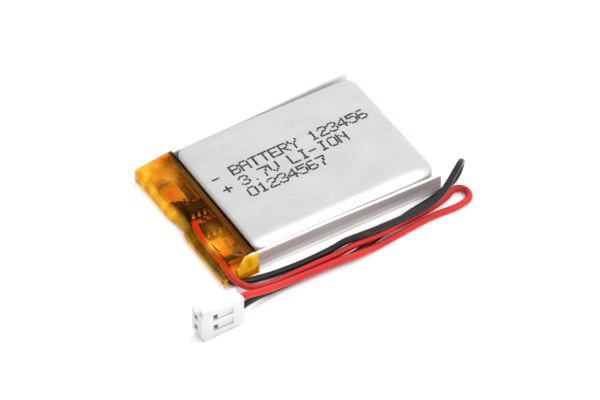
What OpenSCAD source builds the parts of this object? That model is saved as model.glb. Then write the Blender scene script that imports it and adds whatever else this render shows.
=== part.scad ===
// Single lithium-polymer pouch cell with its protection board, taped end, two leads and a two-way plug.
// X runs along the cell towards its folded far end, Y runs across it and Z points up.
// The pack lies on z = 0, and the origin is under the middle of the cell with its taped end.

/* [Pack] */
// Length over the taped end and the cell
pack_l = 36; // [34:0.5:40]
// Width over the taped side seals
pack_w = 25; // [24:0.5:28]
// Thickness of the cell
pack_t = 4; // [3.8:0.1:5]
// Thickness of the tape
tape_t = 0.08; // [0.05:0.01:0.1]

/* [Pouch] */
// Thickness of the aluminium laminate film
film_t = 0.12; // [0.1:0.01:0.14]
// Length of the flat terrace that carries the board
terrace_l = 5.8; // [5.8:0.1:6.4]
// Gap between the cup wall and the folded side seal
seal_gap = 0.6; // [0.4:0.05:0.8]
// Height of the folded side seals
seal_h = 3.8; // [3:0.1:3.8]
// Radius along the cup's upper edge
cup_edge_r = 0.9; // [0.6:0.05:1]
// Radius of the cup's upright corners
cup_corner_r = 1.8; // [1.4:0.1:2.4]

/* [Electrodes] */
// Thickness of the coated copper foil, the anode
anode_t = 0.14; // [0.1:0.01:0.15]
// Thickness of the coated aluminium foil, the cathode
cathode_t = 0.14; // [0.1:0.01:0.15]
// Thickness of one separator film
separator_t = 0.04; // [0.03:0.01:0.05]
// Clearance between neighbouring layers of the winding
layer_gap = 0.01; // [0.005:0.005:0.01]
// Number of flat turns in the winding
turns = 4; // [2:1:4]
// Length of the anode along the cell
anode_l = 27.2; // [25:0.1:27.2]

/* [Tabs] */
// Width of each metal tab
tab_w = 3; // [2:0.1:3]
// Thickness of each metal tab
tab_t = 0.08; // [0.06:0.01:0.1]
// Distance of each tab from the middle of the cell
tab_y = 6.5; // [6.4:0.1:6.8]
// Width of the sealing film around each tab
sealant_w = 4.4; // [4:0.1:4.8]

/* [Board] */
// Length of the protection board across the cell
board_l = 18; // [17:0.5:19]
// Width of the protection board
board_w = 3.4; // [3.2:0.1:3.6]
// Thickness of the protection board
board_t = 0.4; // [0.3:0.05:0.4]
// Thickness of the foam pad under the board
pad_t = 0.28; // [0.2:0.01:0.3]

/* [Leads] */
// Outer diameter of each lead
lead_d = 1; // [0.9:0.05:1]

/* [Plug] */
// Distance between the two contacts
contact_pitch = 2; // [1.9:0.05:2.1]
// Overall width of the plug, across both contacts
plug_w = 5.8; // [5.4:0.1:6]
// Length of the plug along its leads
plug_l = 6.8; // [6.4:0.1:7.2]
// Thickness of the plug
plug_t = 2.7; // [2.6:0.1:3]

/* [Hidden] */
round_fn = 48;
eps = 0.01;

// Ends of the pack, of the cup and of the side seals along X
near_x = -pack_l / 2;
far_x = pack_l / 2;
cup_x = near_x + terrace_l;
seal_x = near_x + 3.1;

// Half widths, from the outside in: side tape, side seal, cup wall
seal_y = pack_w / 2 - tape_t;
fold_r = 2 * film_t + seal_gap;
cup_y = seal_y - fold_r;

// Levels on the terrace, from the tape under it up to the board's top face
terrace_z = tape_t;
tab_z = terrace_z + film_t + 0.04;
sealant_z = terrace_z + film_t;
sealant_t = tab_t + 0.08;
pad_z = sealant_z + sealant_t;
board_z = pad_z + pad_t;
board_top = board_z + board_t;
plate_t = 0.1;

// The board's edges, and the middle of the winding's thickness
board_x = near_x + 1.7;
core_z = pack_t / 2;
core_r = 0.2;
pitch = anode_t + cathode_t + 2 * separator_t + 4 * layer_gap;
winding_x = cup_x + 1.1;
winding_y = cup_y - film_t - 0.2 - core_r - turns * pitch;

// Where each tab turns up beside the board
tab_end_x = board_x - 0.5;

// Slope of the tape over the board, from the pack's end up to the cup wall
tape_slope = [[near_x, 1.2], [near_x + 0.6, 2.3], [near_x + 1.4, 2.8], [cup_x, pack_t - cup_edge_r]];
tape_side_y = cup_y - 0.08;
tape_under_x = cup_x - 0.1;

// Where the plug lies: its mating face, its front face and the line of its contacts
plug_x = -26.1;
plug_y = -20.1;
contact_y = -18.5;
contact_z = plug_w / 2;
plug_body_h = 4.2;
cavity_w = 1.3;
barrel_x = plug_x + 5.7;

// Routes of the two leads' centres, from the board round the far end and back into the plug
red_route = [
    [-16, -0.7, 1.62], [-16.4, -1.9, 1.75], [-16.8, -4.8, 1.85], [-16.85, -8, 1.85],
    [-16.85, -11, 1.85], [-16.9, -13, 1.7], [-16.2, -14.5, 1.25], [-14.9, -15.25, 0.7],
    [-13.2, -15.6, 0.5], [-7.4, -15.75, 0.5], [-1.4, -15.82, 0.65], [0.8, -16.05, 1.25],
    [2.4, -16.25, 1.5], [4, -16.3, 1.55], [5.8, -16.25, 1.45], [8.4, -15.8, 1.1],
    [11, -15.35, 0.65], [14, -15, 0.5], [17, -14.45, 0.5], [18.2, -14.1, 0.5],
    [19.1, -13.65, 0.5], [19.9, -13.45, 0.5], [20.6, -13.6, 0.5], [21.1, -14.05, 0.5],
    [21.3, -14.8, 0.5], [21.1, -15.55, 0.5], [20.55, -16.15, 0.5], [19.7, -16.4, 0.5],
    [14, -16.4, 0.5], [8.4, -16.9, 0.5], [5.2, -17.25, 0.5], [3, -17.55, 0.8],
    [0.9, -17.77, 1.1], [-1.6, -17.62, 1.25], [-6, -17.5, 1.28], [-10, -17.65, 1.65],
    [-13.4, -18.15, 2.5], [-16.4, -18.45, 3.35], [-18.6, -18.5, 3.9], [-20.4, -18.5, 3.9]
];
black_route = [
    [-15.95, 3.7, 1.6], [-16.45, 2.5, 1.6], [-16.7, 0.9, 1.4], [-17, -0.7, 1.1],
    [-17.3, -2.5, 0.95], [-17.4, -4.4, 0.9], [-17.4, -8, 0.9], [-17.35, -11.2, 0.95],
    [-17.05, -12.3, 0.6], [-16.1, -13.05, 0.5], [-14.6, -13.6, 0.5], [-12.4, -14.1, 0.5],
    [-7.6, -14.55, 0.5], [-3.2, -14.65, 0.65], [-1.4, -14.85, 1.05], [0.2, -15.2, 1.8],
    [2, -15.8, 2.4], [3.8, -16.15, 2.65], [6.2, -16.1, 2.5], [9, -15.85, 2.15],
    [12.4, -15.55, 1.95], [14.6, -15.35, 2.1], [16.6, -15, 2.7], [18.2, -14.4, 3.5],
    [19.3, -13.85, 4.05], [20.2, -13.35, 4.35], [21, -12.8, 4.4], [21.7, -12.2, 4.1],
    [22.2, -11.7, 3.4], [22.35, -11.4, 2.45], [22.1, -11.35, 1.5], [21.5, -11.55, 0.8],
    [20.7, -11.85, 0.5], [19.6, -12.25, 0.5], [18.5, -12.78, 0.5], [17, -13.25, 0.5], [11.6, -14.2, 0.5],
    [8.6, -14.85, 0.5], [5.8, -15.7, 0.5], [3.4, -16.25, 0.5], [0.8, -16.92, 0.5],
    [-6, -16.8, 0.5], [-12.4, -17, 0.65], [-15.6, -17.5, 1.25], [-17.8, -18.2, 1.8],
    [-19, -18.5, 1.9], [-20.4, -18.5, 1.9]
];
// Where the red and the black lead pass through the tape's front side, along X and Z
lead_exits = [[-16.87, 1.81], [-17.27, 0.8]];
lead_sides = 8;
lead_side_ref = [0.5, -0.6, 0.6];

// ---- Shared shapes ----

// Extrudes a Y and Z outline along X, from x0 to x1
module along_x(x0, x1) {
    translate([x0, 0, 0]) rotate([90, 0, 90]) linear_extrude(height = x1 - x0) children();
}

// Extrudes an X and Z outline along Y, from y0 to y1
module along_y(y0, y1) {
    translate([0, y1, 0]) rotate([90, 0, 0]) linear_extrude(height = y1 - y0) children();
}

// A box between two opposite corners
module box(low, high) {
    translate(low) cube(high - low);
}

// Outline of a block with its two upper edges rounded, centred on Y
module crowned_outline(half_w, h, r) {
    translate([-half_w, 0]) square([2 * half_w, h - r]);
    translate([-half_w + r, 0]) square([2 * (half_w - r), h]);
    for (side = [-1, 1]) {
        translate([side * (half_w - r), h - r]) circle(r = r, $fn = round_fn);
    }
}

// A block from x0 to x1 with rounded upright corners and rounded upper edges
module crowned_block(x0, x1, half_w, h, corner_r, edge_r) {
    along_x(x0 + corner_r, x1 - corner_r) crowned_outline(half_w, h, edge_r);
    translate([(x0 + x1) / 2, 0, 0]) {
        along_y(-half_w + corner_r, half_w - corner_r) crowned_outline((x1 - x0) / 2, h, edge_r);
    }
    for (x = [x0 + corner_r, x1 - corner_r], y = [-half_w + corner_r, half_w - corner_r]) {
        translate([x, y, 0]) rotate_extrude($fn = round_fn) {
            intersection() {
                crowned_outline(corner_r, h, edge_r);
                square([corner_r, h]);
            }
        }
    }
}

// ---- Pouch ----

// Cross-section of one film layer of a side seal, folded up beside the cup
module seal_outline(layer) {
    outer_r = fold_r - layer * film_t;
    translate([cup_y, fold_r]) {
        intersection() {
            difference() {
                circle(r = outer_r, $fn = round_fn);
                circle(r = outer_r - film_t, $fn = round_fn);
            }
            translate([0, -fold_r]) square(fold_r);
        }
        translate([outer_r - film_t, 0]) square([film_t, seal_h - fold_r]);
    }
}

// Both folded side seals of one film layer, raised beside the terrace by the tape under it
module side_seals(layer) {
    for (side = [0, 1]) mirror([0, side, 0]) {
        along_x(tape_under_x, far_x) seal_outline(layer);
        translate([0, 0, terrace_z]) along_x(seal_x, tape_under_x) {
            intersection() {
                seal_outline(layer);
                square([pack_w, seal_h - terrace_z]);
            }
        }
    }
}

// The slots that let the two sealed tabs out of the cup and across the terrace
module tab_slots() {
    for (side = [-1, 1]) {
        box([near_x - 1, side * tab_y - sealant_w / 2, sealant_z],
            [cup_x + film_t + 0.2, side * tab_y + sealant_w / 2, sealant_z + sealant_t]);
    }
}

module pouch_cup() {
    color("gainsboro") difference() {
        union() {
            difference() {
                translate([0, 0, film_t]) {
                    crowned_block(cup_x, far_x, cup_y, pack_t - film_t, cup_corner_r, cup_edge_r);
                }
                translate([0, 0, -film_t]) crowned_block(cup_x + film_t, far_x - film_t, cup_y - film_t,
                    pack_t, cup_corner_r - film_t, cup_edge_r - film_t);
            }
            side_seals(1);
            box([near_x + tape_t, -cup_y, sealant_z], [cup_x + film_t / 2, cup_y, sealant_z + film_t]);
        }
        tab_slots();
    }
}

module pouch_back() {
    color("silver") {
        side_seals(0);
        box([tape_under_x, -cup_y, 0], [far_x, cup_y, film_t]);
        box([near_x + tape_t, -cup_y, terrace_z], [tape_under_x + eps, cup_y, terrace_z + film_t]);
    }
}

// ---- Winding ----

// Half a turn of a layer, an arc of inner radius r on the +Y side
module half_turn(r, t) {
    intersection() {
        difference() {
            circle(r = r + t, $fn = round_fn);
            circle(r = r, $fn = round_fn);
        }
        translate([0, -r - t]) square([r + t, 2 * (r + t)]);
    }
}

// Cross-section of one wound layer that starts at radius r and moves out by the pitch each turn
module wound_layer(r, t) {
    for (turn = [0:turns - 1]) {
        turn_r = r + turn * pitch;
        translate([winding_y, 0]) half_turn(turn_r, t);
        for (z = [turn_r, -turn_r - t]) {
            translate([-winding_y, z]) square([2 * winding_y, t]);
        }
        if (turn < turns - 1) {
            translate([-winding_y, pitch / 2]) mirror([1, 0]) half_turn(turn_r + pitch / 2, t);
        }
    }
}

// A wound layer of the length given, with its middle at the winding's middle
module winding(r, t, length) {
    middle_x = winding_x + anode_l / 2 + 0.4;
    translate([0, 0, core_z]) along_x(middle_x - length / 2, middle_x + length / 2) wound_layer(r, t);
}

module anode_foil() {
    color("sienna") winding(core_r, anode_t, anode_l);
}

module inner_separator() {
    color("ghostwhite") winding(core_r + anode_t + layer_gap, separator_t, anode_l + 0.8);
}

module cathode_foil() {
    color("dimgray") {
        winding(core_r + anode_t + separator_t + 2 * layer_gap, cathode_t, anode_l - 0.8);
    }
}

module outer_separator() {
    color("white") winding(core_r + pitch - separator_t - layer_gap, separator_t, anode_l + 0.8);
}

// Strip that holds the end of the winding down, under its lower face
module winding_tape() {
    strip_t = 0.03;
    strip_l = 20;
    strip_w = 5;
    strip_x = winding_x + 4;
    strip_z = core_z - core_r - turns * pitch + layer_gap - strip_t;
    color("seagreen") box([strip_x, -winding_y, strip_z],
        [strip_x + strip_l, -winding_y + strip_w, strip_z + strip_t]);
}

// ---- Tabs ----

// Path of a tab: out of the winding's core, down the cup's end, through the seal and back over the board
module tab(side) {
    wall_x = cup_x + film_t + 0.25;
    top_z = board_top + plate_t;
    core_l = 4;
    weld_l = 2.4;
    along_y(side * tab_y - tab_w / 2, side * tab_y + tab_w / 2) {
        translate([wall_x, core_z - tab_t / 2]) square([core_l, tab_t]);
        translate([wall_x, tab_z]) square([tab_t, core_z + tab_t / 2 - tab_z]);
        translate([tab_end_x, tab_z]) square([wall_x + tab_t - tab_end_x, tab_t]);
        translate([tab_end_x, tab_z]) square([tab_t, top_z + tab_t - tab_z]);
        translate([tab_end_x, top_z]) square([weld_l, tab_t]);
    }
}

module negative_tab() {
    color("lightgray") tab(1);
}

module positive_tab() {
    color("whitesmoke") tab(-1);
}

// Sealing film round a tab where it passes between the two pouch films
module tab_sealant(side) {
    difference() {
        box([near_x + 0.4, side * tab_y - sealant_w / 2, sealant_z],
            [cup_x + film_t + 0.2, side * tab_y + sealant_w / 2, sealant_z + sealant_t]);
        tab(side);
    }
}

module negative_tab_sealant() {
    color("khaki") tab_sealant(1);
}

module positive_tab_sealant() {
    color("khaki") tab_sealant(-1);
}

// ---- Protection board ----

module foam_pad() {
    color("tan") box([board_x - 0.1, -board_l / 2 - 0.6, pad_z], [cup_x - 0.4, board_l / 2 + 0.6, board_z]);
}

module protection_board() {
    color("darkgreen") box([board_x, -board_l / 2, board_z], [board_x + board_w, board_l / 2, board_top]);
}

// Nickel plate on the board that a tab is welded to
module weld_plate(side) {
    plate_l = 3.6;
    plate_w = 2.1;
    translate([board_x + 0.1, side * tab_y - plate_l / 2, board_top]) cube([plate_w, plate_l, plate_t]);
}

module negative_weld_plate() {
    color("lightsteelblue") weld_plate(1);
}

module positive_weld_plate() {
    color("lightsteelblue") weld_plate(-1);
}

// Six-leg surface-mount package, with its long side along X and three legs on each side
module six_leg_package(middle_y) {
    body_w = 1.6;
    body_l = 2.9;
    body_h = 1;
    leg_pitch = 0.95;
    leg_x = 0.95;
    leg_t = 0.15;
    middle_x = board_x + 1.9;
    translate([middle_x, middle_y, board_top]) rotate([0, 0, 90]) {
        translate([-body_w / 2, -body_l / 2, 0.1]) cube([body_w, body_l, body_h]);
        for (side = [0, 1], leg = [-1:1]) mirror([side, 0, 0]) translate([0, leg * leg_pitch, 0]) {
            along_y(-0.2, 0.2) {
                translate([0.75, 0.5]) square([0.3, leg_t]);
                translate([leg_x, 0]) square([leg_t, 0.5 + leg_t]);
                translate([leg_x, 0]) square([0.4, 0.12]);
            }
        }
    }
}

module protection_ic() {
    color("black") six_leg_package(1.75);
}

module switching_mosfet() {
    color("black") six_leg_package(-2.6);
}

// Two-ended chip component, 1.6 mm long, beside the weld plates
module chip_component(y, h) {
    chip_l = 1.6;
    chip_w = 0.8;
    translate([board_x + 2.4, y - chip_l / 2, board_top]) cube([chip_w, chip_l, h]);
}

module sense_resistors() {
    color("black") {
        chip_component(5, 0.45);
        chip_component(7.5, 0.45);
    }
}

module filter_capacitor() {
    color("peru") chip_component(-6.5, 0.8);
}

// Solder dome that joins a lead to the board
module solder_joint(x, y) {
    r = 0.42;
    translate([x, y, board_top]) intersection() {
        sphere(r = r, $fn = round_fn);
        translate([-r, -r, 0]) cube([2 * r, 2 * r, r]);
    }
}

module red_solder_joint() {
    color("silver") solder_joint(board_x + 0.4, -0.45);
}

module black_solder_joint() {
    color("silver") solder_joint(board_x + 0.5, 3.95);
}

// ---- Tape ----

// X and Z outline of the wrapped end, with its faces moved in by inset
module wrap_outline(inset) {
    polygon(concat(
        [[tape_under_x, inset], [near_x + inset, inset]],
        [for (p = tape_slope) [min(p[0] + inset, cup_x), p[1] - inset]],
        [[cup_x, 2 * film_t], [tape_under_x, 2 * film_t]]
    ));
}

// One piece of tape round the board, under the terrace and up to the cup wall, closed at its sides
module tape_wrap() {
    color("orange") difference() {
        along_y(-tape_side_y, tape_side_y) wrap_outline(0);
        along_y(-tape_side_y + tape_t, tape_side_y - tape_t) {
            wrap_outline(tape_t);
            translate([tape_under_x - eps, terrace_z]) square([2, tape_slope[3][1] - 2 * tape_t]);
        }
        // The terrace films pass out through both sides, and the leads through the front one
        box([near_x + tape_t, -cup_y - 1, terrace_z], [cup_x + 1, cup_y + 1, sealant_z + film_t]);
        for (exit = lead_exits) {
            translate([exit[0], -tape_side_y, exit[1]]) rotate([90, 0, 0]) {
                cylinder(d = lead_d + 0.2, h = 1, center = true, $fn = round_fn);
            }
        }
    }
}

// Strip of tape hooked over one side seal where it ends at the terrace
module side_tape() {
    seal_in_y = seal_y - 2 * film_t;
    strip_x1 = cup_x - 0.3;
    along_x(seal_x, strip_x1) {
        translate([seal_y, 0]) square([tape_t, seal_h + tape_t]);
        translate([seal_in_y - tape_t, seal_h]) square([tape_t * 2 + 2 * film_t, tape_t]);
        translate([seal_in_y - tape_t, seal_h - 1]) square([tape_t, 1 + tape_t]);
    }
}

module front_side_tape() {
    color("goldenrod") mirror([0, 1, 0]) side_tape();
}

module back_side_tape() {
    color("goldenrod") side_tape();
}

// ---- Leads ----

function unit(v) = v / norm(v);

// Direction of a route at point i, from its two neighbours
function heading(route, i) =
    unit(route[min(i + 1, len(route) - 1)] - route[max(i - 1, 0)]);

// Corners of the lead's section round one point of its route
function lead_ring(p, along) =
    let (side = unit(cross(along, lead_side_ref)), up = cross(side, along))
    [for (k = [0:lead_sides - 1]) p + lead_d / 2 * (cos(360 * k / lead_sides) * side
        + sin(360 * k / lead_sides) * up)];

// A lead swept along its route as one closed tube
module lead(route) {
    last = len(route) - 1;
    points = [for (i = [0:last]) each lead_ring(route[i], heading(route, i))];
    walls = [for (i = [0:last - 1], k = [0:lead_sides - 1])
        let (a = i * lead_sides + k, b = i * lead_sides + (k + 1) % lead_sides)
        each [[a, b, b + lead_sides], [a, b + lead_sides, a + lead_sides]]];
    near_end = [[for (k = [0:lead_sides - 1]) lead_sides - 1 - k]];
    far_end = [[for (k = [0:lead_sides - 1]) last * lead_sides + k]];
    polyhedron(points = points, faces = concat(walls, near_end, far_end));
}

module red_lead() {
    color("red") lead(red_route);
}

module black_lead() {
    color("black") lead(black_route);
}

// ---- Plug ----

// Heights of the two contacts, black below red
contact_heights = [contact_z - contact_pitch / 2, contact_z + contact_pitch / 2];

// Two-way crimp housing that stands on its narrow side, with its mating face towards -X
module plug_housing() {
    body_low = (plug_w - plug_body_h) / 2;
    ear_l = 1.5;
    window_x = plug_x + 1.9;
    window_l = 3.2;
    rail_h = 0.4;
    color("ivory") {
        difference() {
            union() {
                box([plug_x, plug_y, body_low], [plug_x + plug_l, plug_y + plug_t, plug_w - body_low]);
                box([plug_x + 0.3, plug_y, 0], [plug_x + 0.3 + ear_l, plug_y + 1, plug_w]);
                box([plug_x + 0.3, plug_y, body_low - rail_h],
                    [plug_x + plug_l, plug_y + 1, plug_w - body_low + rail_h]);
            }
            for (z = contact_heights) {
                box([plug_x - 1, contact_y - 0.45, z - 0.45], [plug_x + 1, contact_y + 0.45, z + 0.45]);
                box([plug_x + 0.6, contact_y - cavity_w / 2, z - cavity_w / 2],
                    [plug_x + plug_l + 1, contact_y + cavity_w / 2, z + cavity_w / 2]);
                box([window_x, plug_y - 1, z - 0.6], [window_x + window_l, contact_y, z + 0.6]);
            }
        }
        for (z = contact_heights) {
            box([window_x + 0.8, plug_y + 0.15, z - 0.45],
                [window_x + window_l + 0.1, plug_y + 0.6, z + 0.45]);
        }
    }
}

// Crimp terminal: a socket for the mating pin, and a barrel round the end of the lead's wire
module terminal(z) {
    socket_w = 1;
    socket_x0 = plug_x + 0.7;
    socket_x1 = plug_x + 3.5;
    pin_w = 0.6;
    barrel_d = 0.9;
    color("gold") difference() {
        union() {
            box([socket_x0, contact_y - socket_w / 2, z - socket_w / 2],
                [socket_x1, contact_y + socket_w / 2, z + socket_w / 2]);
            translate([socket_x1 - 0.1, contact_y, z]) rotate([0, 90, 0]) {
                cylinder(d = barrel_d, h = barrel_x - socket_x1 + 0.1, $fn = round_fn);
            }
        }
        box([plug_x, contact_y - pin_w / 2, z - pin_w / 2],
            [socket_x1 - 0.3, contact_y + pin_w / 2, z + pin_w / 2]);
    }
}

module red_terminal() {
    terminal(contact_heights[1]);
}

module black_terminal() {
    terminal(contact_heights[0]);
}

pouch_cup();
pouch_back();
anode_foil();
cathode_foil();
inner_separator();
outer_separator();
winding_tape();
negative_tab();
positive_tab();
negative_tab_sealant();
positive_tab_sealant();
foam_pad();
protection_board();
negative_weld_plate();
positive_weld_plate();
protection_ic();
switching_mosfet();
sense_resistors();
filter_capacitor();
red_solder_joint();
black_solder_joint();
tape_wrap();
front_side_tape();
back_side_tape();
red_lead();
black_lead();
plug_housing();
red_terminal();
black_terminal();
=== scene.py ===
"""Looks of the pouch cell pack: camera and leads, pouch, tape, plug, copper, print, materials and studio."""

import math

import bmesh
import bpy
import numpy as np
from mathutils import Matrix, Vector, noise
from mathutils.bvhtree import BVHTree


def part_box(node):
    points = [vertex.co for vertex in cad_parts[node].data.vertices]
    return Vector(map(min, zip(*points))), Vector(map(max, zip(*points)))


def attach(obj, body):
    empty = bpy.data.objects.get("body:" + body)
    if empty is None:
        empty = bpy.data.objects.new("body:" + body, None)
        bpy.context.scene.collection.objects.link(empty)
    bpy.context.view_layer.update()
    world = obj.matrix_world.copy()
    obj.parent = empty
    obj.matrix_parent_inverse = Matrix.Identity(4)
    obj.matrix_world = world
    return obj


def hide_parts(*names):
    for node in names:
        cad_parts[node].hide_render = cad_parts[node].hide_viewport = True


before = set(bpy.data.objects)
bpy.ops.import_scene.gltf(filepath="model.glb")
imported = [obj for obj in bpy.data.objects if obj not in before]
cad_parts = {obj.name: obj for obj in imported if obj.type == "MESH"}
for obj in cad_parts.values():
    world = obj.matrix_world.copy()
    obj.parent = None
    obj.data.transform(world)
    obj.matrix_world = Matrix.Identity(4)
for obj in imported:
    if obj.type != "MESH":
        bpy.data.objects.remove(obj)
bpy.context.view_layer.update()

MM = 0.001
BODY = "pack"

# ---- Camera ----

AZIMUTH = math.radians(-31.5)
ELEVATION = math.radians(45)
DISTANCE = 505 * MM
AIM = Vector((0.78, -2.10, -1.38)) * MM
LENS_MM = 210
SENSOR_MM = 36
CLIP_START = 0.01


def add_camera():
    """The camera, in front of the pack, to its left and above it."""
    backwards = Vector((
        math.sin(AZIMUTH) * math.cos(ELEVATION),
        -math.cos(AZIMUTH) * math.cos(ELEVATION),
        math.sin(ELEVATION),
    ))
    data = bpy.data.cameras.new("camera")
    data.lens = LENS_MM
    data.sensor_width = SENSOR_MM
    data.clip_start = CLIP_START
    camera = bpy.data.objects.new("camera", data)
    camera.location = AIM + backwards * DISTANCE
    camera.rotation_euler = backwards.to_track_quat("Z", "Y").to_euler()
    bpy.context.scene.collection.objects.link(camera)
    bpy.context.scene.camera = camera


# ---- Places that the pieces share, in millimetres, read from the frame ----


def node_box(name):
    """Lowest and highest corner of a CAD node in millimetres."""
    low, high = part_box(name)
    return Vector(low) / MM, Vector(high) / MM


cup_high = node_box("pouch_cup")[1]
back_high = node_box("pouch_back")[1]
board_high = node_box("protection_board")[1]
tape_low, tape_high = node_box("tape_wrap")
side_low, side_high = node_box("front_side_tape")
PACK_T = cup_high.z  # height of the printed face
NEAR_X = tape_low.x  # the taped end
CUP_X = tape_high.x  # the cup's near wall, where the tape stops
FAR_X = cup_high.x  # the folded far end
SEAL_Y = back_high.y  # outer face of a side seal
SEAL_H = back_high.z
CUP_Y = 11.58  # half the width of the cup
FOLD_R = SEAL_Y - CUP_Y
FILM_T = 0.12


# ---- Mesh helpers ----


def new_object(name, data):
    """Puts a mesh or a curve in the scene as an object."""
    piece = bpy.data.objects.new(name, data)
    bpy.context.scene.collection.objects.link(piece)
    return piece


def mesh_object(name, points, faces, smooth=True):
    """An object from points in millimetres and faces, with its normals made to agree."""
    mesh = bpy.data.meshes.new(name)
    mesh.from_pydata([Vector(p) * MM for p in points], [], faces)
    work = bmesh.new()
    work.from_mesh(mesh)
    bmesh.ops.remove_doubles(work, verts=work.verts, dist=1e-7)
    bmesh.ops.recalc_face_normals(work, faces=work.faces)
    work.to_mesh(mesh)
    work.free()
    mesh.polygons.foreach_set("use_smooth", [smooth] * len(mesh.polygons))
    return new_object(name, mesh)


def grid_faces(rows, columns, wrap=False):
    """Faces of a grid of rows by columns of points, closed across the columns if wrap is true."""
    spans = columns if wrap else columns - 1
    return [
        (r * columns + c, r * columns + (c + 1) % columns,
         (r + 1) * columns + (c + 1) % columns, (r + 1) * columns + c)
        for r in range(rows - 1) for c in range(spans)
    ]


def apply_modifiers(piece):
    """Replaces the piece's mesh with what its modifiers make of it."""
    depsgraph = bpy.context.evaluated_depsgraph_get()
    mesh = bpy.data.meshes.new_from_object(piece.evaluated_get(depsgraph))
    piece.modifiers.clear()
    piece.data = mesh


def add_attribute(piece, name, measure):
    """Stores measure(x, y, z), taken in millimetres, at every point of the piece's mesh."""
    made = piece.data.attributes.new(name, "FLOAT", "POINT")
    made.data.foreach_set("value", [measure(*(v.co / MM)) for v in piece.data.vertices])


def smoothstep(low, high, value):
    """A smooth step from 0 at low to 1 at high."""
    t = min(1.0, max(0.0, (value - low) / (high - low)))
    return t * t * (3 - 2 * t)


def bump(value, centre, width):
    """A smooth bump of height 1 round centre."""
    return math.exp(-((value - centre) / width) ** 2)


def spot(x, y, place):
    """A smooth bump of height 1 round a place, which is its middle and its reach, each in x and in y."""
    middle, reach = place
    return bump(x, middle[0], reach[0]) * bump(y, middle[1], reach[1])


def wrinkle(x, y, scale, seed):
    """Smooth noise from about -1 to 1 over the XY plane."""
    return noise.noise(Vector((x / scale, y / scale, seed)))


def ripples(x, y, layers):
    """A sum of layers of noise. Each layer is its height, the size of its features and its seed."""
    return sum(height * wrinkle(x, y, size, seed) for height, size, seed in layers)


# ---- Leads ----

# Points of each lead's centre line, from its solder joint to its crimp
RED_ROUTE = [
    (-16, -0.7, 1.62), (-16.4, -1.9, 1.75), (-16.8, -4.8, 1.85), (-16.85, -8, 1.85),
    (-16.85, -11, 1.85), (-16.9, -13, 1.7), (-16.2, -14.5, 1.25), (-14.9, -15.25, 0.7),
    (-13.2, -15.6, 0.5), (-7.4, -15.75, 0.5), (-1.4, -15.82, 0.65), (0.8, -16.05, 1.25),
    (2.4, -16.25, 1.5), (4, -16.3, 1.55), (5.8, -16.25, 1.45), (8.4, -15.8, 1.1),
    (11, -15.35, 0.65), (14, -15, 0.5), (17, -14.45, 0.5), (18.2, -14.1, 0.5),
    (19.1, -13.65, 0.5), (19.9, -13.45, 0.5), (20.6, -13.6, 0.5), (21.1, -14.05, 0.5),
    (21.3, -14.8, 0.5), (21.1, -15.55, 0.5), (20.55, -16.15, 0.5), (19.7, -16.4, 0.5),
    (14, -16.4, 0.5), (8.4, -16.9, 0.5), (5.2, -17.25, 0.5), (3, -17.55, 0.8),
    (0.9, -17.77, 1.1), (-1.6, -17.62, 1.25), (-6, -17.5, 1.28), (-10, -17.65, 1.65),
    (-13.4, -18.15, 2.5), (-16.4, -18.45, 3.35), (-18.6, -18.5, 3.9), (-20.4, -18.5, 3.9),
]
BLACK_ROUTE = [
    (-15.95, 3.7, 1.6), (-16.45, 2.5, 1.6), (-16.7, 0.9, 1.4), (-17, -0.7, 1.1),
    (-17.3, -2.5, 0.95), (-17.4, -4.4, 0.9), (-17.4, -8, 0.9), (-17.35, -11.2, 0.95),
    (-17.05, -12.3, 0.6), (-16.1, -13.05, 0.5), (-14.6, -13.6, 0.5), (-12.4, -14.1, 0.5),
    (-7.6, -14.55, 0.5), (-3.2, -14.65, 0.65), (-1.4, -14.85, 1.05), (0.2, -15.2, 1.8),
    (2, -15.8, 2.4), (3.8, -16.15, 2.65), (6.2, -16.1, 2.5), (9, -15.85, 2.15),
    (12.4, -15.55, 1.95), (14.6, -15.35, 2.1), (16.6, -15, 2.7), (18.2, -14.4, 3.5),
    (19.3, -13.85, 4.05), (20.2, -13.35, 4.35), (21, -12.8, 4.4), (21.7, -12.2, 4.1),
    (22.2, -11.7, 3.4), (22.35, -11.4, 2.45), (22.1, -11.35, 1.5), (21.5, -11.55, 0.8),
    (20.7, -11.85, 0.5), (19.6, -12.25, 0.5), (18.5, -12.78, 0.5), (17, -13.25, 0.5),
    (11.6, -14.2, 0.5), (8.6, -14.85, 0.5), (5.8, -15.7, 0.5), (3.4, -16.25, 0.5),
    (0.8, -16.92, 0.5), (-6, -16.8, 0.5), (-12.4, -17, 0.65), (-15.6, -17.5, 1.25),
    (-17.8, -18.2, 1.8), (-19, -18.5, 1.9), (-20.4, -18.5, 1.9),
]
LEAD_D = 1.0


def smooth_route(route, steps=8):
    """Points along a smooth curve through the route, none so low that the lead would sink in the table."""
    knots = [Vector(p) for p in route]
    knots = [2 * knots[0] - knots[1]] + knots + [2 * knots[-1] - knots[-2]]
    chords = [after - before for before, after in zip(knots, knots[1:])]
    slopes = [
        (a * (b.length / a.length) + b * (a.length / b.length)) / (a.length + b.length)
        for a, b in zip(chords, chords[1:])
    ]
    points = []
    for start, end, slope, next_slope in zip(knots[1:], knots[2:], slopes, slopes[1:]):
        span = (end - start).length
        for step in range(steps):
            t = step / steps
            points.append(start * (1 + 2 * t) * (1 - t) ** 2 + end * (3 - 2 * t) * t ** 2
                          + span * (slope * t * (1 - t) ** 2 - next_slope * t ** 2 * (1 - t)))
    points.append(knots[-2])
    for point in points:
        point.z = max(point.z, LEAD_D / 2)
    return points


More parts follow.
